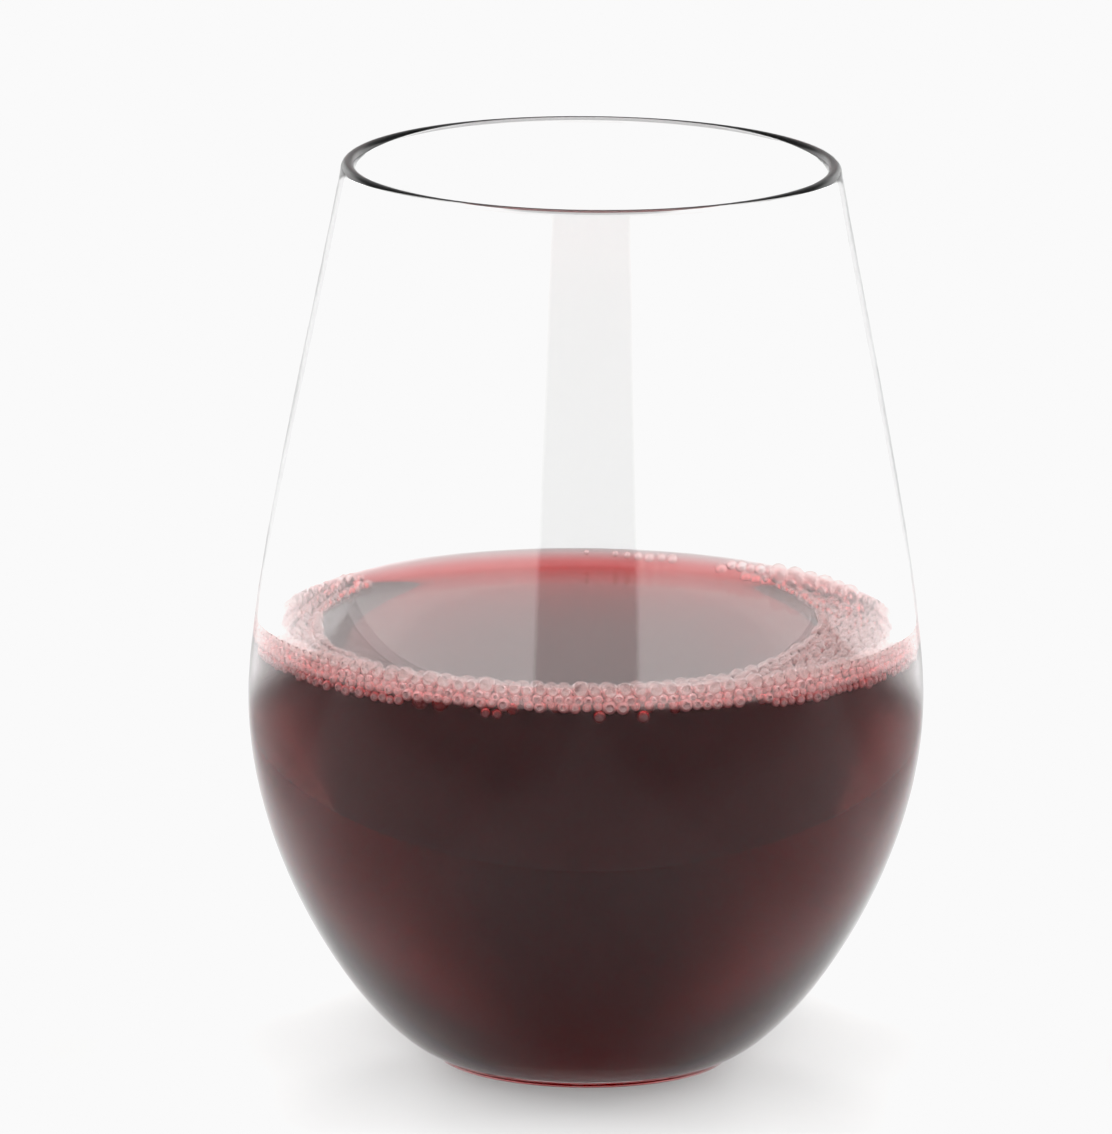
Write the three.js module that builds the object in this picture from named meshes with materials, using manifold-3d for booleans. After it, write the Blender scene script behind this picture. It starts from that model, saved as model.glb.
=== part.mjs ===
// A stemless wine glass, a little under half full of red wine with a collar of bubbles.
// Millimetres, +Z up, origin in the middle of the foot's underside. -Y is the front.
import * as THREE from 'three';
import { mergeVertices } from 'three/addons/utils/BufferGeometryUtils.js';
import Module from 'manifold-3d';

const wasm = await Module();
wasm.setup();

// Outside of the glass
const glassHeight = 124;
const rimRadius = 33.9;
const bellyRadius = 46;
const bellyHeight = 50;
const footRadius = 19.6;
const footEdge = 0.8;
const lowerWallSlope = 0.3;
const lowerWallReach = 9;
const bellyReachDown = 23.5;
const bellyReachUp = 15;
const upperWallReach = 23;
const rimLean = 0.18;

// Thickness of the glass
const rimWall = 1.7;
const bellyWall = 2.2;
const floorHeight = 3.2;
const hollowRadius = 13.5;
const hollowDepth = 0.7;

// Wine
const wineLevel = 58.3;
const meniscusRise = 2.7;
const meniscusReach = 1.9;
const gap = 0.3;

// Collar of bubbles: how far it reaches in from the wall, by azimuth from the front in degrees
const collarWidths = [
  [-131, 2.2], [-112, 3.6], [-90, 6.4], [-60, 8], [-15, 11.5], [25, 12.4],
  [66, 14], [91, 12], [116, 7], [132, 4.4], [151, 2.6],
];
const collarDepth = 1.5;
const collarCrest = 0.25;
const bubbleCount = 120;
const bubbleRadius = { small: 0.9, large: 1.25, backRight: 1.75 };
const backRight = { from: 112, to: 134, reach: 4.5 };

// Facets
const turns = 48;
const wallSteps = 9;
const lipSteps = 4;

function makeRandom(seed) {
  let state = seed;
  return () => {
    state = (state * 1664525 + 1013904223) % 4294967296;
    return state / 4294967296;
  };
}

// The outside is two cubic curves that meet, upright, at the belly
function lowerWall() {
  const start = new THREE.Vector2(footRadius + footEdge, footEdge);
  const lean = new THREE.Vector2(Math.cos(lowerWallSlope), Math.sin(lowerWallSlope));
  const belly = new THREE.Vector2(bellyRadius, bellyHeight);
  return new THREE.CubicBezierCurve(
    start,
    start.clone().addScaledVector(lean, lowerWallReach),
    belly.clone().setY(bellyHeight - bellyReachDown),
    belly,
  );
}

function upperWall() {
  const belly = new THREE.Vector2(bellyRadius, bellyHeight);
  const rim = new THREE.Vector2(rimRadius, glassHeight - rimWall / 2);
  const lean = new THREE.Vector2(Math.sin(rimLean), -Math.cos(rimLean));
  return new THREE.CubicBezierCurve(
    belly,
    belly.clone().setY(bellyHeight + bellyReachUp),
    rim.clone().addScaledVector(lean, upperWallReach),
    rim,
  );
}

// Points of a curve moved inwards by a wall that changes evenly along it
function offsetInwards(curve, steps, wallAtStart, wallAtEnd, fromShare = 0) {
  const points = [];
  for (let i = 0; i <= steps; i += 1) {
    const share = fromShare + (1 - fromShare) * (i / steps);
    const wall = THREE.MathUtils.lerp(wallAtStart, wallAtEnd, share);
    const tangent = curve.getTangent(share);
    const inwards = new THREE.Vector2(-tangent.y, tangent.x);
    points.push(curve.getPoint(share).addScaledVector(inwards, wall));
  }
  return points;
}

// The inside, from the middle of the floor up to the rim, kept clear of the glass by a margin
function insideProfile(margin) {
  const lower = lowerWall();
  const joinShare = 0.3;
  const wall = offsetInwards(lower, wallSteps, bellyWall + margin, bellyWall + margin, joinShare);
  const upper = offsetInwards(upperWall(), wallSteps, bellyWall + margin, rimWall + margin);
  const floor = new THREE.Vector2(0, floorHeight + margin);
  const tangent = lower.getTangent(joinShare);
  const bowl = new THREE.CubicBezierCurve(
    floor,
    new THREE.Vector2(wall[0].x * 0.5, floor.y),
    wall[0].clone().addScaledVector(tangent, -wall[0].x * 0.3),
    wall[0],
  );
  return [...bowl.getPoints(5), ...wall.slice(1), ...upper.slice(1)];
}

// Turns a profile of (radius, height) points round the Z axis
function turn(points) {
  const geometry = new THREE.LatheGeometry(points, turns);
  geometry.rotateX(Math.PI / 2);
  return geometry;
}

function toSolid(geometry) {
  const bare = geometry.clone();
  bare.deleteAttribute('normal');
  bare.deleteAttribute('uv');
  const merged = mergeVertices(bare, 1e-4);
  const index = merged.getIndex().array;
  const triangles = [];
  for (let i = 0; i < index.length; i += 3) {
    const [a, b, c] = [index[i], index[i + 1], index[i + 2]];
    if (a !== b && b !== c && c !== a) triangles.push(a, b, c);
  }
  return new wasm.Manifold(new wasm.Mesh({
    numProp: 3,
    vertProperties: new Float32Array(merged.getAttribute('position').array),
    triVerts: new Uint32Array(triangles),
  }));
}

function toGeometry(solid) {
  const { vertProperties, triVerts } = solid.getMesh();
  const geometry = new THREE.BufferGeometry();
  geometry.setAttribute('position', new THREE.BufferAttribute(new Float32Array(vertProperties), 3));
  geometry.setIndex(new THREE.BufferAttribute(new Uint32Array(triVerts), 1));
  geometry.computeVertexNormals();
  return geometry;
}

function makeMesh(name, geometry, finish) {
  const mesh = new THREE.Mesh(geometry, new THREE.MeshStandardMaterial(finish));
  mesh.name = name;
  return mesh;
}

// Radius of the inside wall at a height, read along the inside profile
function insideRadius(height) {
  const profile = insideProfile(0);
  const upper = profile.findIndex((point) => point.y > height);
  const [low, high] = [profile[upper - 1], profile[upper]];
  const share = (height - low.y) / (high.y - low.y);
  return THREE.MathUtils.lerp(low.x, high.x, share);
}

const contactHeight = wineLevel + meniscusRise;
const contactRadius = insideRadius(contactHeight);

// Height of the free surface at a distance from the wall, level with its edge past the wall
function surfaceHeight(fromWall) {
  return wineLevel + meniscusRise * Math.exp(-Math.max(fromWall, 0) / meniscusReach);
}

function makeGlass() {
  const hollowEdge = new THREE.Vector2(hollowRadius, 0);
  const hollow = new THREE.QuadraticBezierCurve(
    new THREE.Vector2(0, hollowDepth),
    new THREE.Vector2(hollowRadius * 0.7, hollowDepth),
    hollowEdge,
  );
  const footCorner = new THREE.QuadraticBezierCurve(
    new THREE.Vector2(footRadius, 0),
    new THREE.Vector2(footRadius + footEdge * 0.6, 0),
    new THREE.Vector2(footRadius + footEdge, footEdge),
  );
  const lip = [];
  for (let i = 1; i < lipSteps; i += 1) {
    const angle = (Math.PI * i) / lipSteps;
    const middle = rimRadius - rimWall / 2;
    const out = Math.cos(angle) * (rimWall / 2);
    lip.push(new THREE.Vector2(middle + out, glassHeight - rimWall / 2 + Math.sin(angle) * (rimWall / 2)));
  }
  const outside = [...lowerWall().getPoints(wallSteps + 4), ...upperWall().getPoints(wallSteps).slice(1)];
  const section = [
    ...hollow.getPoints(3),
    ...footCorner.getPoints(2).slice(0, 2),
    ...outside,
    ...lip,
    ...insideProfile(0).reverse(),
  ];
  return makeMesh('glass', turn(section), { color: 0xf4f6f5, roughness: 0.03, metalness: 0 });
}

// The collar's outline seen from above, grown by a margin, as a prism through the wine's surface
function collarPrism(margin) {
  const place = ([azimuth, width], grow = 0) => {
    const angle = THREE.MathUtils.degToRad(azimuth);
    const radius = contactRadius - width - grow;
    return new THREE.Vector2(radius * Math.sin(angle), -radius * Math.cos(angle));
  };
  const inner = new THREE.SplineCurve(collarWidths.map((station) => place(station, margin)));
  const first = collarWidths[0][0] - THREE.MathUtils.radToDeg(margin / contactRadius);
  const last = collarWidths.at(-1)[0] + THREE.MathUtils.radToDeg(margin / contactRadius);
  const outer = [];
  for (let azimuth = last; azimuth > first; azimuth -= 5) outer.push(place([azimuth, -3]));
  outer.push(place([first, -3]));
  const outline = new THREE.Shape([...inner.getPoints(44), ...outer]);
  const geometry = new THREE.ExtrudeGeometry(outline, { depth: 12, bevelEnabled: false });
  geometry.translate(0, 0, contactHeight - 8);
  return toSolid(geometry);
}

// A ring that follows the wine's surface, from depth below it to crest above it
function surfaceRing(start, depth, crest) {
  const fromWall = [start, 1.2, 2.6, 5, 17];
  const under = fromWall.map((d) => new THREE.Vector2(contactRadius - d, surfaceHeight(d) - depth));
  const over = fromWall.map((d) => new THREE.Vector2(contactRadius - d, surfaceHeight(d) + crest));
  const section = [...under.reverse(), ...over];
  section.push(section[0].clone());
  return toSolid(turn(section));
}

// Bubbles lie where their centres keep apart, the biggest at the back right
function placeBubbles() {
  const random = makeRandom(29);
  const widthAt = (azimuth) => {
    const upper = Math.max(1, collarWidths.findIndex((station) => station[0] > azimuth));
    const [low, high] = [collarWidths[upper - 1], collarWidths[upper]];
    return THREE.MathUtils.lerp(low[1], high[1], (azimuth - low[0]) / (high[0] - low[0]));
  };
  const first = collarWidths[0][0] + 1;
  const last = collarWidths.at(-1)[0] - 1;
  const placed = [];
  for (let tries = 0; placed.length < bubbleCount && tries < 9000; tries += 1) {
    const azimuth = THREE.MathUtils.lerp(first, last, random());
    const grow = random();
    let radius = THREE.MathUtils.lerp(bubbleRadius.small, bubbleRadius.large, grow);
    const nearest = radius + gap + 0.15;
    const reach = widthAt(azimuth) - radius;
    let fromWall = THREE.MathUtils.lerp(nearest, Math.max(nearest, reach), random());
    const big = azimuth > backRight.from && azimuth < backRight.to && fromWall < backRight.reach;
    if (big) {
      radius = bubbleRadius.backRight;
      fromWall = radius + gap + 0.15;
    }
    const angle = THREE.MathUtils.degToRad(azimuth);
    const place = new THREE.Vector3(
      (contactRadius - fromWall) * Math.sin(angle),
      -(contactRadius - fromWall) * Math.cos(angle),
      surfaceHeight(fromWall) + (big ? radius * 0.15 : -0.35 * radius),
    );
    const apart = placed.every((other) => other.place.distanceTo(place) > (other.radius + radius) * 0.95);
    if (apart) placed.push({ place, radius });
  }
  return placed;
}

function makeCollar() {
  let solid = surfaceRing(gap, collarDepth, collarCrest).intersect(collarPrism(0));
  for (const { place, radius } of placeBubbles()) {
    const ball = new THREE.IcosahedronGeometry(radius, 0);
    ball.translate(place.x, place.y, place.z);
    solid = solid.add(toSolid(ball));
  }
  return solid;
}

// The wine fills the inside up to its meniscus, with a bed for the collar
function makeWine() {
  const below = insideProfile(gap).filter((point) => point.y < contactHeight - 1);
  const fromWall = [gap, 1.2, 2.6, 5, 9];
  const top = fromWall.map((d) => new THREE.Vector2(contactRadius - d, surfaceHeight(d)));
  const section = [...below, ...top, new THREE.Vector2(0, wineLevel)];
  const bed = surfaceRing(-2, collarDepth + gap, 4).intersect(collarPrism(gap));
  return toSolid(turn(section)).subtract(bed);
}

const wineGlass = new THREE.Group();
wineGlass.add(
  makeGlass(),
  makeMesh('wine', toGeometry(makeWine()), { color: 0x35191f, roughness: 0.05, metalness: 0 }),
  makeMesh('bubbles', toGeometry(makeCollar()), { color: 0xd2b4b2, roughness: 0.2, metalness: 0 }),
);

export default wineGlass;
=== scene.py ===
import math
import random
import bpy
from mathutils import Matrix, Vector
from mathutils.kdtree import KDTree


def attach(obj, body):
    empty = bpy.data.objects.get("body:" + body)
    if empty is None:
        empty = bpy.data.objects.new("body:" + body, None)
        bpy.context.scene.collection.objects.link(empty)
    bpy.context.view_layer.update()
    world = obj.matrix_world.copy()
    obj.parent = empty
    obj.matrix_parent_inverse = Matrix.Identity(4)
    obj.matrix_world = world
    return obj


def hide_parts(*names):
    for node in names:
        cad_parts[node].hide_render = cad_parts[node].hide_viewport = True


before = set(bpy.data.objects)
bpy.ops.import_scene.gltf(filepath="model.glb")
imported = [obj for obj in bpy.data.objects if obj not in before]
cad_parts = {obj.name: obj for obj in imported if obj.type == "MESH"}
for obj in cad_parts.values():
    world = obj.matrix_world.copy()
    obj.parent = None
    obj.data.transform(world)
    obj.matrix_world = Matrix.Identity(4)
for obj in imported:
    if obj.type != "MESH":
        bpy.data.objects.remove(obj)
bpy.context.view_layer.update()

bpy.ops.object.select_all(action="DESELECT")
mm = 0.001

# The glass's own sizes, in millimetres: the CAD's outside, with a thicker lip and a thinner base
glassShape = {
    "height": 124, "rimRadius": 33.9, "bellyRadius": 46, "bellyHeight": 50,
    "footRadius": 19.6, "footEdge": 0.8, "lowerSlope": 0.3, "lowerReach": 9,
    "reachDown": 23.5, "reachUp": 15, "upperReach": 23, "rimLean": 0.18,
    "rimWall": 2.0, "bellyWall": 2.2, "footWall": 1.4, "floorHeight": 2.3,
    "hollowRadius": 13.5, "hollowDepth": 0.7, "bowlJoin": 0.3,
    # where the handles of the small curves lie, as shares of each curve's width and height
    "hollowHandles": ((0.5, 1.0), (0.8, 0.4)), "cornerHandles": ((0.5, 0.0), (0.8, 0.6)),
    "floorHandles": (0.5, 0.3),
    "turns": 180, "wallSteps": 44, "floorSteps": 24, "hollowSteps": 12, "cornerSteps": 6, "lipSteps": 16,
    # a face that looks up more than this belongs to the floor
    "floorLook": 0.9,
}


def cubic(p0, p1, p2, p3, steps, first=0.0):
    points = []
    for i in range(steps + 1):
        t = first + (1 - first) * i / steps
        a, b, c, d = (1 - t) ** 3, 3 * (1 - t) ** 2 * t, 3 * (1 - t) * t ** 2, t ** 3
        points.append(Vector((a * p0[0] + b * p1[0] + c * p2[0] + d * p3[0],
                              a * p0[1] + b * p1[1] + c * p2[1] + d * p3[1])))
    return points


def wallCurve(part, first=0.0):
    g = glassShape
    belly = (g["bellyRadius"], g["bellyHeight"])
    if part == "lower":
        start = (g["footRadius"] + g["footEdge"], g["footEdge"])
        lean = (start[0] + g["lowerReach"] * math.cos(g["lowerSlope"]),
                start[1] + g["lowerReach"] * math.sin(g["lowerSlope"]))
        return cubic(start, lean, (belly[0], belly[1] - g["reachDown"]), belly, g["wallSteps"], first)
    rim = (g["rimRadius"], g["height"] - g["rimWall"] / 2)
    lean = (rim[0] + g["upperReach"] * math.sin(g["rimLean"]),
            rim[1] - g["upperReach"] * math.cos(g["rimLean"]))
    return cubic(belly, (belly[0], belly[1] + g["reachUp"]), lean, rim, g["wallSteps"], first)


def offsetInwards(points, wallStart, wallEnd):
    moved = []
    last = len(points) - 1
    for i, point in enumerate(points):
        tangent = (points[min(i + 1, last)] - points[max(i - 1, 0)]).normalized()
        wall = wallStart + (wallEnd - wallStart) * i / last
        moved.append(point + Vector((-tangent.y, tangent.x)) * wall)
    return moved


def insideProfile(grow=0.0):
    # from the middle of the floor to the rim; grow pushes it into the glass
    g = glassShape
    wall = offsetInwards(wallCurve("lower", g["bowlJoin"]), g["footWall"] - grow, g["bellyWall"] - grow)
    upper = offsetInwards(wallCurve("upper"), g["bellyWall"] - grow, g["rimWall"] - grow)
    tangent = (wall[1] - wall[0]).normalized()
    floor = (0, g["floorHeight"] - grow)
    join = wall[0]
    flat, bend = g["floorHandles"]
    bowl = cubic(floor, (join.x * flat, floor[1]), join - tangent * join.x * bend, join, g["floorSteps"])
    return bowl + wall[1:] + upper[1:]


def spinProfile(name, points, turns):
    # a single vertex is drawn out along the profile and spun round Z
    bpy.ops.object.select_all(action="DESELECT")
    bpy.ops.mesh.primitive_plane_add(size=mm)
    piece = bpy.context.object
    piece.name = piece.data.name = name
    bpy.ops.object.mode_set(mode="EDIT")
    bpy.ops.mesh.select_all(action="SELECT")
    bpy.ops.mesh.merge(type="CENTER")
    bpy.ops.transform.translate(value=(points[0].x * mm, 0, points[0].y * mm))
    for here, there in zip(points, points[1:]):
        step = ((there.x - here.x) * mm, 0, (there.y - here.y) * mm)
        bpy.ops.mesh.extrude_vertices_move(TRANSFORM_OT_translate={"value": step})
    bpy.ops.mesh.select_all(action="SELECT")
    bpy.ops.mesh.spin(steps=turns, angle=math.tau, center=(0, 0, 0), axis=(0, 0, 1))
    bpy.ops.mesh.select_all(action="SELECT")
    bpy.ops.mesh.remove_doubles(threshold=0.002 * mm)
    bpy.ops.mesh.normals_make_consistent(inside=False)
    bpy.ops.mesh.faces_shade_smooth()
    bpy.ops.object.mode_set(mode="OBJECT")
    return piece


def wallRadiusAt(height, grow=0.0):
    profile = insideProfile(grow)
    for low, high in zip(profile, profile[1:]):
        if low.y <= height <= high.y and high.y > low.y:
            return low.x + (high.x - low.x) * (height - low.y) / (high.y - low.y)
    return profile[-1].x


# The wine's level and the meniscus that climbs the wall, in millimetres
wineShape = {
    "level": 58.3, "rise": 2.7, "capillary": 2.27, "intoWall": 0.06,
    # how the meniscus's rings crowd towards the level, how near the level it counts as flat, and how far
    # under the contact line the side's rings stop
    "meniscusSteps": 26, "meniscusPower": 1.6, "flat": 0.004, "innerRings": 10, "edge": 0.05,
    # faces this far under the level, or this near the wall, belong to the side
    "sideBelow": 0.2, "sideNear": 0.01,
    # the meniscus's height is found by halving, and kept in a table: so many to the millimetre, so many
    # millimetres from the wall
    "lowest": 1e-4, "halvings": 40, "tableSteps": 10, "tableReach": 20,
    # the films stay this far off the glass, in a space that ends this far over the level
    "filmGap": 0.02, "filmRoom": 12,
    # edges that bend less than this, in degrees, are shaded smooth
    "smoothUnder": 40,
}

contactHeight = wineShape["level"] + wineShape["rise"]
contactRadius = wallRadiusAt(contactHeight)


def meniscusDistance(height):
    # how far from the wall the surface has dropped to this height above the level
    size = wineShape["capillary"]
    def curve(h):
        return size * math.acosh(2 * size / h) - size * math.sqrt(4 - (h / size) ** 2)
    return curve(height) - curve(wineShape["rise"])


def surfaceHeight(fromWall):
    low, high = wineShape["lowest"], wineShape["rise"]
    if fromWall <= 0:
        return wineShape["level"] + high
    for i in range(wineShape["halvings"]):
        middle = (low + high) / 2
        if meniscusDistance(middle) > fromWall:
            low = middle
        else:
            high = middle
    return wineShape["level"] + low


fineness = wineShape["tableSteps"]
surfaceTable = [surfaceHeight(i / fineness) for i in range(fineness * wineShape["tableReach"])]


class Socket:
    # a node's output that can be added, multiplied and so on
    def __init__(self, maker, output):
        self.maker = maker
        self.output = output

    def join(self, operation, left, right):
        return self.maker.node("ShaderNodeMath", {"operation": operation}, {0: left, 1: right})

    def __add__(self, other):
        return self.join("ADD", self, other)

    def __sub__(self, other):
        return self.join("SUBTRACT", self, other)

    def __rsub__(self, other):
        return self.join("SUBTRACT", other, self)

    def __mul__(self, other):
        return self.join("MULTIPLY", self, other)

    def __abs__(self):
        return self.maker.node("ShaderNodeMath", {"operation": "ABSOLUTE"}, {0: self})

    __radd__ = __add__
    __rmul__ = __mul__


class Finish:
    # a material in the making: node() adds any node and returns its first or named output
    def __init__(self, name, tree=None):
        self.material = None
        if tree is None:
            self.material = bpy.data.materials.new(name)
            self.material.use_nodes = True
            tree = self.material.node_tree
        self.tree = tree
        self.tree.nodes.clear()

    def node(self, kind, settings=None, inputs=None, output=0):
        made = self.tree.nodes.new(kind)
        for key, value in (settings or {}).items():
            setattr(made, key, value)
        for key, value in (inputs or {}).items():
            if isinstance(value, Socket):
                self.tree.links.new(value.output, made.inputs[key])
            elif value is not None:
                made.inputs[key].default_value = value
        # an output node hands nothing on
        return Socket(self, made.outputs[output]) if made.outputs else None

    def place(self, axes, output="Object"):
        # the chosen coordinates of the shaded point
        place = self.node("ShaderNodeTexCoord", output=output)
        split = self.node("ShaderNodeSeparateXYZ", inputs={0: place}).output.node
        return [Socket(self, split.outputs[axis]) for axis in axes]


def addClearSurface(finish, ior, bump, tint=(1, 1, 1, 1)):
    return finish.node("ShaderNodeBsdfPrincipled", inputs={
        "Base Color": tint, "Roughness": 0.0, "IOR": ior, "Transmission Weight": 1.0, "Normal": bump})


def addWaviness(finish, wave):
    # the slight unevenness of blown glass or of a still surface
    place = finish.node("ShaderNodeTexCoord", output="Object")
    noise = finish.node("ShaderNodeTexNoise", inputs={"Vector": place, "Scale": wave["scale"], "Detail": 1.0})
    return finish.node("ShaderNodeBump", inputs={"Height": noise, "Strength": wave["strength"],
                                                 "Distance": wave["distance"]})


def addClearFinish(name, ior, wave):
    finish = Finish(name)
    surface = addClearSurface(finish, ior, addWaviness(finish, wave))
    finish.node("ShaderNodeOutputMaterial", inputs={"Surface": surface})
    return finish.material


def addWineFinish(name, ior, wave, absorb):
    # the wall's own finish bends the light where wine meets glass, so the wine's sides leave it straight
    finish = Finish(name)
    bump = addWaviness(finish, wave)
    clear = addClearSurface(finish, ior, bump)
    foam = finish.node("ShaderNodeAttribute", {"attribute_name": "foam"}, output="Fac")
    haze = finish.node("ShaderNodeBsdfDiffuse", inputs={"Color": absorb["haze"]})
    cloud = absorb["surfaceHaze"] + foam * (absorb["foamHaze"] - absorb["surfaceHaze"])
    free = finish.node("ShaderNodeMixShader", inputs={0: cloud, 1: clear, 2: haze})
    straight = addClearSurface(finish, 1.0, None)
    veil = finish.node("ShaderNodeBsdfDiffuse", inputs={"Color": absorb["side"]})
    plain = finish.node("ShaderNodeMixShader", inputs={0: absorb["sideHaze"], 1: straight, 2: veil})
    # between the rows of bubbles the wine is a froth too fine to model
    y, z = finish.place("YZ")
    low, full = [(contactHeight - depth) * mm for depth in absorb["frothDepths"]]
    back, front = [distance * mm for distance in absorb["frothReach"]]
    amount = (finish.node("ShaderNodeMapRange", inputs={
        "Value": z, "From Min": low, "From Max": full, "To Max": absorb["frothHaze"]})
        * finish.node("ShaderNodeMapRange", inputs={"Value": y, "From Min": back, "From Max": front}))
    froth = finish.node("ShaderNodeBsdfDiffuse", inputs={"Color": absorb["froth"]})
    side = finish.node("ShaderNodeMixShader", inputs={0: amount, 1: plain, 2: froth})
    atWall = finish.node("ShaderNodeAttribute", {"attribute_name": "atWall"}, output="Fac")
    surface = finish.node("ShaderNodeMixShader", inputs={0: atWall, 1: free, 2: side})
    volume = finish.node("ShaderNodeVolumeAbsorption", inputs={
        "Color": absorb["color"], "Density": absorb["density"]})
    finish.node("ShaderNodeOutputMaterial", inputs={"Surface": surface, "Volume": volume})
    return finish.material


def addFilmFinish(name, ior, wave, film):
    # thin wine skins, a little milky
    finish = Finish(name)
    clear = addClearSurface(finish, ior, addWaviness(finish, wave), film["tint"])
    milk = finish.node("ShaderNodeBsdfDiffuse", inputs={"Color": film["milk"]})
    surface = finish.node("ShaderNodeMixShader", inputs={0: film["share"], 1: clear, 2: milk})
    finish.node("ShaderNodeOutputMaterial", inputs={"Surface": surface})
    return finish.material


glassFinish = {"ior": 1.46, "wineIor": 1.34}
wineFinish = {
    "density": 1280.0, "color": (0.9606, 0.14, 0.156, 1),
    # the little light that the surface and the wine along the wall scatter back
    "haze": (0.96, 0.68, 0.67, 1), "surfaceHaze": 0.05, "foamHaze": 0.3,
    "side": (0.9, 0.12, 0.14, 1), "sideHaze": 0.005,
    # the froth at the wall: how far under the contact line it starts and is full, and how far back it goes
    "froth": (0.95, 0.64, 0.62, 1), "frothHaze": 0.14, "frothDepths": (3.1, 2.2), "frothReach": (12.0, 4.0),
}
filmFinish = {"tint": (1, 0.93, 0.92, 1), "milk": (0.95, 0.66, 0.64, 1), "share": 0.07}
wave = {"scale": 90.0, "strength": 0.02, "distance": 0.0005}

clearGlass = addClearFinish("clearGlass", glassFinish["ior"], wave)
wettedGlass = addClearFinish("wettedGlass", glassFinish["ior"] / glassFinish["wineIor"], wave)
redWine = addWineFinish("redWine", glassFinish["wineIor"], wave, wineFinish)
bubbleFilm = addFilmFinish("bubbleFilm", glassFinish["wineIor"], wave, filmFinish)
print("finishes:", clearGlass.name, wettedGlass.name, redWine.name, bubbleFilm.name)


def makeGlass():
    g = glassShape
    wide, deep = g["hollowRadius"], g["hollowDepth"]
    handles = [(wide * across, deep * up) for across, up in g["hollowHandles"]]
    hollow = cubic((0, deep), *handles, (wide, 0), g["hollowSteps"])
    foot, edge = g["footRadius"], g["footEdge"]
    handles = [(foot + edge * across, edge * up) for across, up in g["cornerHandles"]]
    corner = cubic((foot, 0), *handles, (foot + edge, edge), g["cornerSteps"])
    middle = g["rimRadius"] - g["rimWall"] / 2
    top = g["height"] - g["rimWall"] / 2
    angles = [math.pi * i / g["lipSteps"] for i in range(1, g["lipSteps"])]
    lip = [Vector((middle + math.cos(angle) * g["rimWall"] / 2, top + math.sin(angle) * g["rimWall"] / 2))
           for angle in angles]
    inside = insideProfile()
    # the contact line is a ring of its own, where the wetted finish ends
    k = next(i for i, p in enumerate(inside) if p.y > contactHeight)
    inside.insert(k, Vector((contactRadius, contactHeight)))
    section = hollow + corner + wallCurve("lower")[1:] + wallCurve("upper")[1:] + lip + inside[::-1]
    glass = spinProfile("glassBowl", section, g["turns"])
    glass.data.materials.append(clearGlass)
    glass.data.materials.append(wettedGlass)
    # the lamps reach the floor and the foam through clear glass
    glass.visible_shadow = False
    glass.visible_diffuse = False
    for face in glass.data.polygons:
        center, normal = face.center, face.normal
        inward = normal.x * center.x + normal.y * center.y < 0 or normal.z > g["floorLook"]
        if inward and g["floorHeight"] / 2 < center.z / mm < contactHeight:
            face.material_index = 1
    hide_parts("glass")
    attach(glass, "root")
    print("glass bowl:", len(glass.data.polygons), "faces")


# Bubbles: the collar along the wall, by azimuth from the front, in degrees and millimetres
collarShape = {
    "widths": [(-131, 2.2), (-112, 3.6), (-90, 6.4), (-60, 8), (-15, 11.5), (25, 12.4),
               (66, 14), (91, 12), (114, 7.5), (126, 4.6), (140, 2.4), (153, 1.9)],
    # how many bubbles lie under each other against the wall, besides the rows along it
    "layers": [(-131, 1), (-112, 1.1), (-85, 1.3), (-60, 1.6), (-20, 1.4), (5, 1.3), (35, 1.4),
               (60, 1.6), (90, 1.2), (112, 1.1), (153, 1)],
    # rows against the wall: how far under the contact line, from where to where, smallest and largest
    # radius, and how far off the wall the centres stay, as a share of the radius
    "rows": [(0.45, -108, 104, 0.85, 1.25, 0.6), (1.6, -104, 100, 0.6, 0.9, 0.6),
             (2.6, -98, 96, 0.65, 1.0, 0.68), (3.6, -82, -36, 0.55, 0.85, 0.72),
             (3.6, 34, 84, 0.55, 0.9, 0.72)],
    # how far the rows' bubbles may run into each other, as a share of their sizes, how far apart they stand,
    # in radii, how far a row's start may be off, in degrees, and how far a bubble may lie off its row
    "squeeze": 0.24, "rowStep": 1.86, "rowStart": 2, "rowWave": 0.18,
    "small": 0.66, "large": 1.25, "deepWidth": 2.4, "fill": 1.12, "gap": 0.04, "film": 0.03,
    # how far the loose ones are pressed into each other, how clear they are, how large the deep ones get, how
    # near the wall a loose one's centre comes, and how the wall leans out below the contact line
    "press": 1.05, "clearer": 0.15, "deepSize": 0.85, "touch": 0.88, "wallLean": 0.1, "least": 0.22,
    # how finely they are sown, in degrees, the room each takes, in radii squared, how the sizes lean to the
    # large, and how far from the level those near the wall are sown
    "sector": 2.0, "room": 3.46, "sizeLean": 0.6, "sown": (-0.9, 0.5),
    # how far a bubble rises in a turn, and what share of each push it follows
    "rise": 0.12, "give": 0.6,
    # how far a bubble's centre lies under the surface, as a share of its radius: at the wall and further in
    "sinkWall": -0.45, "sinkInside": 0.1, "sinkReach": 3.0,
    "rounds": 60, "seed": 29,
    # the chain of big ones: from where to where, the largest radius and how much the sizes vary, how far they
    # stand up, as a share of the radius, and the gap between them, in degrees
    "bigFrom": 117, "bigTo": 140, "bigRadius": 1.75, "bigSpread": (0.75, 1.0), "bigRise": 0.45, "bigGap": 0.4,
    # a bubble that stands up more than this gets a film, and bubbles cut together lie this far apart
    "proud": 0.05, "apart": 0.01,
    # lone bubbles against the back wall: azimuth and radius
    "strays": [(180, 0.35), (174.6, 0.4), (172.3, 0.5), (170.2, 0.62), (168.0, 0.75),
               (165.6, 0.6), (163.4, 0.7)],
}


def alongCollar(stations, azimuth):
    for low, high in zip(stations, stations[1:]):
        if low[0] <= azimuth <= high[0]:
            share = (azimuth - low[0]) / (high[0] - low[0])
            return low[1] + (high[1] - low[1]) * share
    return 0.0


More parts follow.
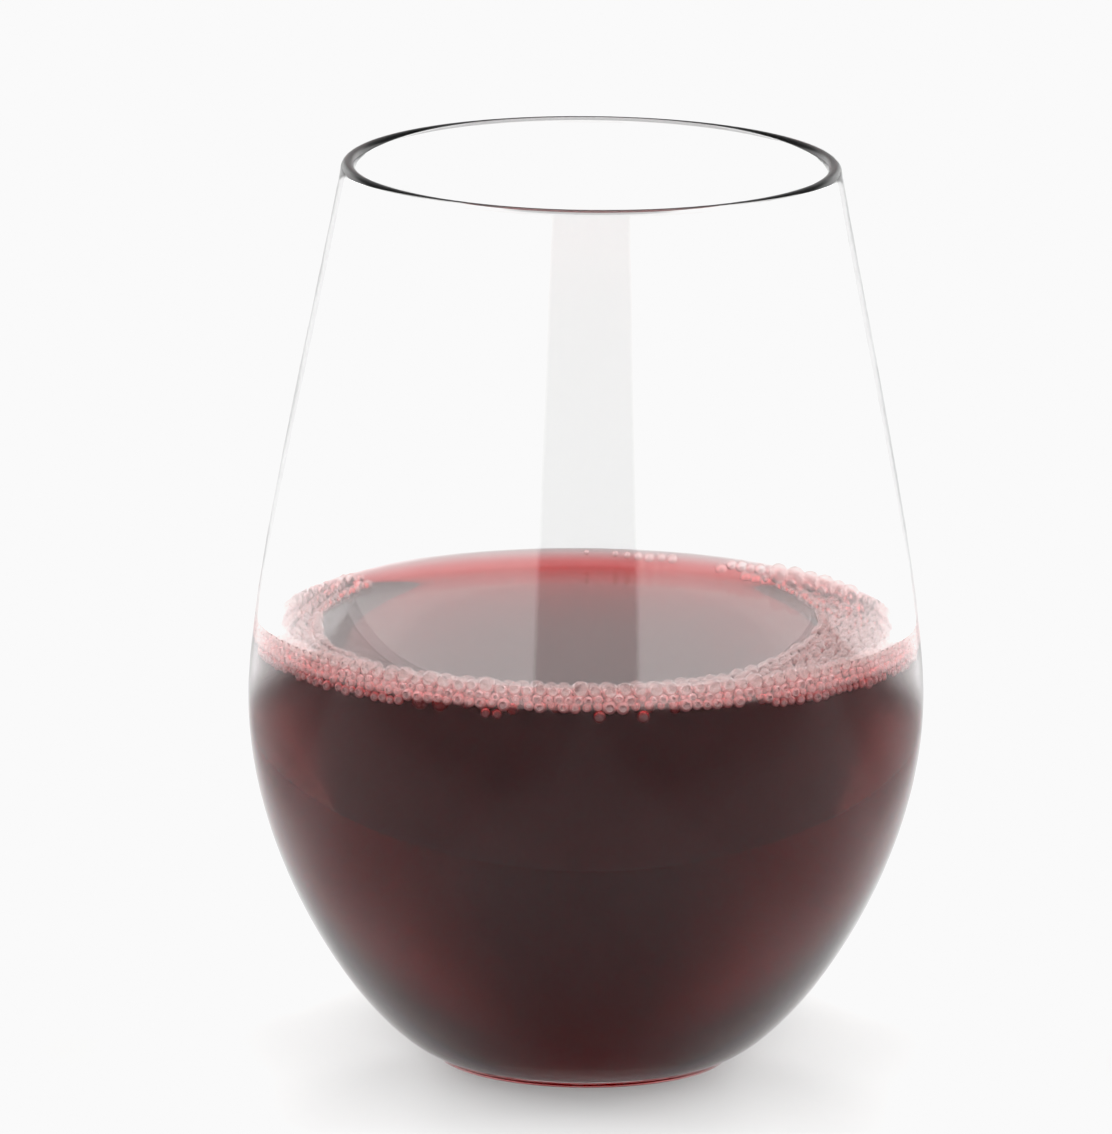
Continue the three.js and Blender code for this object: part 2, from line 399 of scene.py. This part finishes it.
def collarPlace(azimuth, fromWall, height):
    angle = math.radians(azimuth)
    out = contactRadius - fromWall
    return Vector((out * math.sin(angle), -out * math.cos(angle), height))


def floatHeight(place, radius):
    # as high as a bubble floats at its distance from the wall
    c = collarShape
    fromWall = max(contactRadius - math.hypot(place.x, place.y), 0)
    sink = c["sinkWall"] + (c["sinkInside"] - c["sinkWall"]) * min(fromWall / c["sinkReach"], 1)
    return surfaceTable[min(int(fromWall * fineness), len(surfaceTable) - 1)] - sink * radius


def keepInCollar(place, radius, first, last):
    c = collarShape
    azimuth = math.degrees(math.atan2(place.x, -place.y))
    azimuth = max(first, min(last, azimuth))
    fromWall = contactRadius - math.hypot(place.x, place.y)
    nearest = radius * c["touch"] + c["gap"] - c["wallLean"] * (contactHeight - place.z)
    widest = max(alongCollar(c["widths"], azimuth), nearest)
    fromWall = max(nearest, min(widest, fromWall))
    return collarPlace(azimuth, fromWall, place.z)


def seedBubbles(draw):
    # more bubbles than fit in one layer are sown near the wall
    c = collarShape
    bubbles = []
    azimuth = c["widths"][0][0]
    while azimuth < c["widths"][-1][0]:
        width = alongCollar(c["widths"], azimuth)
        layers = alongCollar(c["layers"], azimuth)
        deep = min(width, c["deepWidth"])
        area = (width - deep + deep * layers) * math.radians(c["sector"]) * (contactRadius - width / 2)
        filled = 0.0
        while filled < area * c["fill"]:
            radius = c["small"] + (c["large"] - c["small"]) * draw.random() ** c["sizeLean"]
            filled += c["room"] * radius ** 2
            nearWall = draw.random() * (width - deep + deep * layers) < deep * layers
            fromWall = draw.uniform(0, deep) if nearWall else draw.uniform(deep, width)
            height = wineShape["level"]
            if nearWall:
                height += draw.uniform(*c["sown"])
                radius = min(radius, c["deepSize"])
            turn = draw.uniform(-0.5, 0.5) * c["sector"]
            bubbles.append([collarPlace(azimuth + turn, fromWall, height), radius, False])
        azimuth += c["sector"]
    return bubbles


def settleBubbles(bubbles, first, last):
    # each rises as far as it floats, and neighbours push each other apart
    c = collarShape
    for turn in range(c["rounds"]):
        tree = KDTree(len(bubbles))
        for i, bubble in enumerate(bubbles):
            tree.insert(bubble[0], i)
        tree.balance()
        pushes = [Vector((0, 0, 0)) for bubble in bubbles]
        for i, (place, radius, fixed) in enumerate(bubbles):
            for other, j, distance in tree.find_range(place, radius + c["bigRadius"] + c["gap"]):
                overlap = radius + bubbles[j][1] + c["gap"] - distance
                if j > i and overlap > 0 and distance > 0:
                    push = (place - other) * (overlap / distance)
                    share = 1.0 if bubbles[j][2] else 0.5
                    if not fixed:
                        pushes[i] += push * share
                    if not bubbles[j][2]:
                        pushes[j] -= push * (1.0 if fixed else 0.5)
        for bubble, push in zip(bubbles, pushes):
            if bubble[2]:
                continue
            place = bubble[0] + push * c["give"]
            place.z = min(place.z + c["rise"], floatHeight(place, bubble[1]))
            bubble[0] = keepInCollar(place, bubble[1], first, last)


def shrinkToFit(bubbles):
    c = collarShape
    tree = KDTree(len(bubbles))
    for i, bubble in enumerate(bubbles):
        tree.insert(bubble[0], i)
    tree.balance()
    for i, bubble in enumerate(bubbles):
        for other, j, distance in tree.find_range(bubble[0], bubble[1] + c["bigRadius"] + c["gap"]):
            both = bubble[1] + bubbles[j][1]
            overlap = both + c["gap"] - distance - (both * c["squeeze"] if bubble[2] and bubbles[j][2] else 0)
            if j != i and overlap > 0:
                shrinkOther = bubble[2] or (bubble[1] < bubbles[j][1] and not bubbles[j][2])
                loser = bubbles[j] if shrinkOther else bubble
                loser[1] -= overlap


def placeBubbles():
    c = collarShape
    draw = random.Random(c["seed"])
    bubbles = []
    azimuth = c["bigFrom"]
    while azimuth < c["bigTo"]:
        radius = c["bigRadius"] * draw.uniform(*c["bigSpread"])
        place = collarPlace(azimuth, radius + c["gap"], 0)
        place.z = floatHeight(place, radius) + c["bigRise"] * radius
        bubbles.append([place, radius, True])
        azimuth += math.degrees(2 * radius / contactRadius) + c["bigGap"]
    for azimuth, radius in c["strays"]:
        place = collarPlace(azimuth, radius + c["gap"], 0)
        place.z = floatHeight(place, radius)
        bubbles.append([place, radius, True])
    for depth, first, last, small, large, off in c["rows"]:
        azimuth = first + draw.uniform(0, c["rowStart"])
        while azimuth < last:
            radius = draw.uniform(small, large)
            height = contactHeight - depth + draw.uniform(-c["rowWave"], c["rowWave"])
            step = math.degrees(radius / contactRadius)
            fromWall = radius * off + c["gap"] - c["wallLean"] * (contactHeight - height)
            bubbles.append([collarPlace(azimuth + step, fromWall, height), radius, True])
            azimuth += c["rowStep"] * step
    bubbles += seedBubbles(draw)
    settleBubbles(bubbles, c["widths"][0][0], c["widths"][-1][0])
    shrinkToFit(bubbles)
    kept = [bubble for bubble in bubbles if bubble[1] > c["least"]]
    # pressed together, neighbours open into each other, as the cells of foam do
    for bubble in kept:
        if not bubble[2]:
            bubble[1] *= c["press"]
    print("bubbles:", len(bubbles), "sown,", len(kept), "kept")
    return kept


def sortApart(bubbles, margin):
    # groups in which no two bubbles touch, so that each group is a clean tool for a Boolean
    tree = KDTree(len(bubbles))
    for i, bubble in enumerate(bubbles):
        tree.insert(bubble[0], i)
    tree.balance()
    groups, groupOf = [], {}
    for i, (place, radius, fixed) in enumerate(bubbles):
        near = tree.find_range(place, radius + 2 * collarShape["bigRadius"])
        taken = {groupOf.get(j) for other, j, distance in near if distance < radius + bubbles[j][1] + margin}
        k = next(k for k in range(len(groups) + 1) if k not in taken)
        if k == len(groups):
            groups.append([])
        groupOf[i] = k
        groups[k].append(bubbles[i])
    return groups


def makeBalls(name, bubbles, grow):
    # one ball is modelled, and every bubble is a copy of it with a mesh of its own
    bpy.ops.object.select_all(action="DESELECT")
    bpy.ops.mesh.primitive_ico_sphere_add(subdivisions=2, radius=1)
    pattern = bpy.context.object
    pattern.data.attributes.new("foam", "FLOAT", "FACE")
    for place, radius, fixed in bubbles:
        ball = pattern.copy()
        ball.data = pattern.data.copy()
        cloudy = [1.0 if fixed else collarShape["clearer"]] * len(ball.data.polygons)
        ball.data.attributes["foam"].data.foreach_set("value", cloudy)
        size = (radius + grow) * mm
        ball.data.transform(Matrix.LocRotScale(place * mm, None, Vector((size, size, size))))
        bpy.context.collection.objects.link(ball)
        ball.select_set(True)
    bpy.data.objects.remove(pattern, do_unlink=True)
    bpy.context.view_layer.objects.active = ball
    bpy.ops.object.join()
    ball.name = ball.data.name = name
    return ball


def cut(piece, tool, operation="DIFFERENCE", keepTool=False):
    modifier = piece.modifiers.new("cut", "BOOLEAN")
    modifier.object = tool
    modifier.operation = operation
    modifier.solver = "MANIFOLD"
    bpy.context.view_layer.objects.active = piece
    bpy.ops.object.modifier_apply(modifier=modifier.name)
    if not keepTool:
        bpy.data.objects.remove(tool, do_unlink=True)


def makeWineAndFilms():
    w = wineShape
    side = [p for p in insideProfile(w["intoWall"]) if p.y < contactHeight - w["edge"]]
    steps = w["meniscusSteps"]
    heights = [w["rise"] * (1 - i / steps) ** w["meniscusPower"] for i in range(steps)]
    top = [Vector((contactRadius - meniscusDistance(h), w["level"] + h)) for h in heights if h > w["flat"]]
    edge = Vector((wallRadiusAt(contactHeight, w["intoWall"]), contactHeight))
    inner = top[-1].x
    rest = [Vector((inner * (1 - i / w["innerRings"]), w["level"])) for i in range(1, w["innerRings"] + 1)]
    wine = spinProfile("wineBody", side + [edge] + top + rest, glassShape["turns"])
    atWall = wine.data.attributes.new("atWall", "FLOAT", "FACE")
    for face in wine.data.polygons:
        radius = math.hypot(face.center.x, face.center.y) / mm
        height = face.center.z / mm
        atSide = height < w["level"] - w["sideBelow"] or radius > wallRadiusAt(height) - w["sideNear"]
        atWall.data[face.index].value = atSide
    bubbles = placeBubbles()
    c = collarShape
    proud = [b for b in bubbles if b[0].z + b[1] > floatHeight(b[0], 0) + c["proud"]]
    skins = [makeBalls("skins", group, c["film"]) for group in sortApart(proud, 2 * c["film"] + c["apart"])]
    films = skins[0]
    for skin in skins[1:]:
        cut(films, skin, "UNION")
    films.name = films.data.name = "bubbleFilms"
    hollows = [makeBalls("hollows", group, 0.0) for group in sortApart(bubbles, c["apart"])]
    cut(films, wine, keepTool=True)
    # nothing reaches into the glass
    inside = [p for p in insideProfile(-w["filmGap"]) if p.y < w["level"] + w["filmRoom"]]
    lid = [Vector((0, inside[-1].y))]
    cut(films, spinProfile("space", inside + lid, glassShape["turns"]), "INTERSECT")
    for hollow in hollows:
        cut(films, hollow, keepTool=True)
        cut(wine, hollow)
    print("bubbles above the surface:", len(proud), "in", len(skins), "and", len(hollows), "groups")
    for piece, finish in ((wine, redWine), (films, bubbleFilm)):
        piece.data.materials.clear()
        piece.data.materials.append(finish)
        bpy.ops.object.select_all(action="DESELECT")
        piece.select_set(True)
        bpy.context.view_layer.objects.active = piece
        bpy.ops.object.shade_smooth_by_angle(angle=math.radians(w["smoothUnder"]))
        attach(piece, "root")
    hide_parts("wine")
    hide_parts("bubbles")
    print("wine:", len(wine.data.polygons), "faces; films:", len(films.data.polygons), "faces")


# The paper's painted light and shade: its lightness near the glass, and zones further off that are painted
# darker, or in one lighter, to stand in for light that falls unevenly: the lightness, and where the zone
# starts and is full, in metres. The last four lie beside the picture or behind the wine, and only show in the
# glass.
floorShape = {
    "size": 12.0, "near": 0.5,
    "front": (0.41, -0.06, -0.25), "behind": (0.38, 0.05, 0.3), "open": (0.44, 0.045, 0.075),
    # these three begin only so far back, and the bright one, painted light, has an edge that runs at a slant
    "beside": (0.33, 0.08, 0.12), "besideFrom": (0.0, 0.06), "besideTo": (0.17, 0.22),
    "bright": (0.88, -0.05, 0.03), "brightSlant": 0.55, "brightFrom": (0.2, 0.26),
    "far": (0.34, 0.11, 0.16), "farFrom": (0.36, 0.42),
    # the painted shadow: an ellipse, which starts and is full at these shares of its halves squared
    "paintedShadow": (0.28, 1.0, 0.4), "paintedShadowPlace": 0.13, "paintedShadowHalves": (0.0339, 0.1),
}


def makeFloor():
    bpy.ops.object.select_all(action="DESELECT")
    bpy.ops.mesh.primitive_plane_add(size=floorShape["size"])
    floor = bpy.context.object
    floor.name = "paleFloor"
    finish = Finish("paleFloor")
    x, y = finish.place("XY")
    f = floorShape

    def fade(value, start, end, change=1.0):
        return finish.node("ShaderNodeMapRange", {"interpolation_type": "SMOOTHSTEP"}, {
            "Value": value, "From Min": start, "From Max": end, "To Max": change})

    def zone(name, value, ground="near"):
        lightness, start, end = f[name]
        before = f[ground] if ground == "near" else f[ground][0]
        return fade(value, start, end, lightness - before)

    aside = abs(x)
    # painted shade: the paper darker in front, behind, off to the sides and far behind stands in for less
    # light there
    shade = f["near"] + zone("front", y) + zone("behind", y)
    shade = shade + zone("open", aside) * fade(y, f["behind"][2], f["behind"][1])
    shade = shade + zone("beside", aside, "open") * (fade(y, *f["besideFrom"]) - fade(y, *f["besideTo"]))
    # painted light: a lighter wedge of paper far behind, off to the sides
    shade = shade + zone("bright", aside - y * f["brightSlant"], "behind") * fade(y, *f["brightFrom"])
    shade = shade + zone("far", aside, "behind") * fade(y, *f["farFrom"])
    # painted shadow: darker paper behind the wine, where the glass's own shade falls
    across, along = [1 / half ** 2 for half in f["paintedShadowHalves"]]
    beyond = y - f["paintedShadowPlace"]
    shade = shade + zone("paintedShadow", x * x * across + beyond * beyond * along)
    surface = finish.node("ShaderNodeBsdfPrincipled", inputs={
        "Base Color": shade, "Roughness": 1.0, "Specular IOR Level": 0.0})
    finish.node("ShaderNodeOutputMaterial", inputs={"Surface": surface})
    floor.data.materials.append(finish.material)
    print("floor:", len(finish.tree.nodes), "nodes in its finish")


# White panels at both sides of the lens, brighter low down, others at the sides and behind them, a dim wall
# right behind and a softbox overhead. Angles are in degrees, from the front or up from the floor.
studio = {
    "lensGap": 0.2, "panels": 1.35, "panelsLow": 2.2, "sides": 1.5,
    "behindSides": 1.5, "behind": 0.62, "behindHigh": 0.52,
    "high": 0.36, "overhead": 1.6,
    "lensHalf": 18.0, "lensSoft": 1.0, "sideFrom": 48.0, "sideTo": 68.0, "backFrom": 112.0, "backTo": 130.0,
    "middleFrom": 160.0, "middleTo": 172.0,
    "lowTop": 14.0, "lowFade": 24.0, "overheadFrom": 44.0, "overheadTo": 54.0,
}


def makeWorld():
    s = studio
    world = bpy.data.worlds.new("studio")
    world.use_nodes = True
    bpy.context.scene.world = world
    finish = Finish("studio", world.node_tree)
    x, y, z = finish.place("XYZ", "Generated")
    azimuth = abs(x.join("ARCTAN2", x, 0 - y))

    def blend(value, start, end, before, after):
        return finish.node("ShaderNodeMapRange", inputs={
            "Value": value, "From Min": start, "From Max": end, "To Min": before, "To Max": after})

    def degrees(*angles):
        return [math.radians(angle) for angle in angles]

    rise = [math.sin(angle)
            for angle in degrees(s["lowTop"], s["lowFade"], s["overheadFrom"], s["overheadTo"])]
    lensEdge = degrees(s["lensHalf"] - s["lensSoft"], s["lensHalf"] + s["lensSoft"])
    beyondLens = blend(azimuth, *lensEdge, 0.0, 1.0)
    front = s["lensGap"] + beyondLens * (s["panels"] - s["lensGap"])
    front = front + blend(z, rise[0], rise[1], s["panelsLow"] - s["panels"], 0.0) * beyondLens
    front = front + blend(azimuth, *degrees(s["sideFrom"], s["sideTo"]), 0.0, s["sides"] - s["panels"])
    middle = blend(z, 0.0, rise[0], s["behind"], s["behindHigh"])
    beside = blend(z, rise[0], rise[1], s["behindSides"], s["high"])
    back = beside + (middle - beside) * blend(azimuth, *degrees(s["middleFrom"], s["middleTo"]), 0.0, 1.0)
    ring = front + (back - front) * blend(azimuth, *degrees(s["backFrom"], s["backTo"]), 0.0, 1.0)
    lit = ring + (s["overhead"] - ring) * blend(z, rise[2], rise[3], 0.0, 1.0)
    shown = finish.node("ShaderNodeBackground", inputs={"Color": (1, 1, 1, 1), "Strength": lit})
    finish.node("ShaderNodeOutputWorld", inputs={"Surface": shown})
    print("studio:", len(finish.tree.nodes), "nodes in its light")


# Soft lights round the glass for the floor and the foam: azimuth from the front, height, both in degrees,
# strength and softness. Glass and wine reflect the studio alone.
lampShape = {
    "front": (0, 20, 3.0, 25), "left": (-108, 42, 1.1, 30), "right": (108, 42, 1.1, 30),
    "backLeft": (-163, 7, 7.0, 28), "backRight": (163, 7, 7.0, 28),
}


def makeLamps():
    for name, (azimuth, height, strength, softness) in lampShape.items():
        around, up = math.radians(azimuth), math.radians(height)
        towards = Vector((math.sin(around) * math.cos(up), -math.cos(around) * math.cos(up), math.sin(up)))
        turn = towards.to_track_quat("Z", "Y").to_euler()
        bpy.ops.object.light_add(type="SUN", location=towards, rotation=turn)
        lamp = bpy.context.object
        lamp.name = lamp.data.name = name
        lamp.data.energy = strength
        lamp.data.angle = math.radians(softness)
        lamp.visible_glossy = False
        lamp.visible_transmission = False
    print("lamps:", ", ".join(lampShape))


# From the photo: pixels of its own 1112 x 1134 frame, metres and degrees
cameraShape = {
    "distance": 2.130, "height": 0.5421, "pitch": 12.55, "focal": 16059.0,
    "aside": -0.00424, "roll": 0.57, "photoLong": 1134.0,
}


def makeCamera():
    c = cameraShape
    data = bpy.data.cameras.new("camera")
    camera = bpy.data.objects.new("camera", data)
    bpy.context.scene.collection.objects.link(camera)
    data.sensor_width = 36
    data.lens = c["focal"] / c["photoLong"] * data.sensor_width
    data.clip_end = 50
    camera.location = (c["aside"], -c["distance"], c["height"])
    camera.rotation_euler = (math.radians(90 - c["pitch"]), 0, 0)
    camera.rotation_euler.rotate_axis("Z", math.radians(c["roll"]))
    bpy.context.scene.camera = camera
    print("camera:", c["distance"], "m in front and", c["height"], "m up")


# The picture's own tone: where black and white start, in scene light, and how bright white is printed
tone = {"black": 0.016, "white": 1.0, "paper": 0.955}


def setTone():
    view = bpy.context.scene.view_settings
    view.view_transform = "Standard"
    view.use_curve_mapping = True
    curves = view.curve_mapping
    curves.black_level = [tone["black"]] * 3
    curves.white_level = [tone["white"]] * 3
    curves.extend = "HORIZONTAL"
    curves.curves[3].points[1].location = (1.0, tone["paper"])
    curves.update()


# light has to pass many walls, films and bubbles
bounces = {"max_bounces": 32, "transmission_bounces": 32, "glossy_bounces": 12, "transparent_max_bounces": 16}


def setBounces():
    for name, count in bounces.items():
        setattr(bpy.context.scene.cycles, name, count)


makeCamera()
makeFloor()
makeWorld()
makeLamps()
makeGlass()
makeWineAndFilms()
setTone()
setBounces()
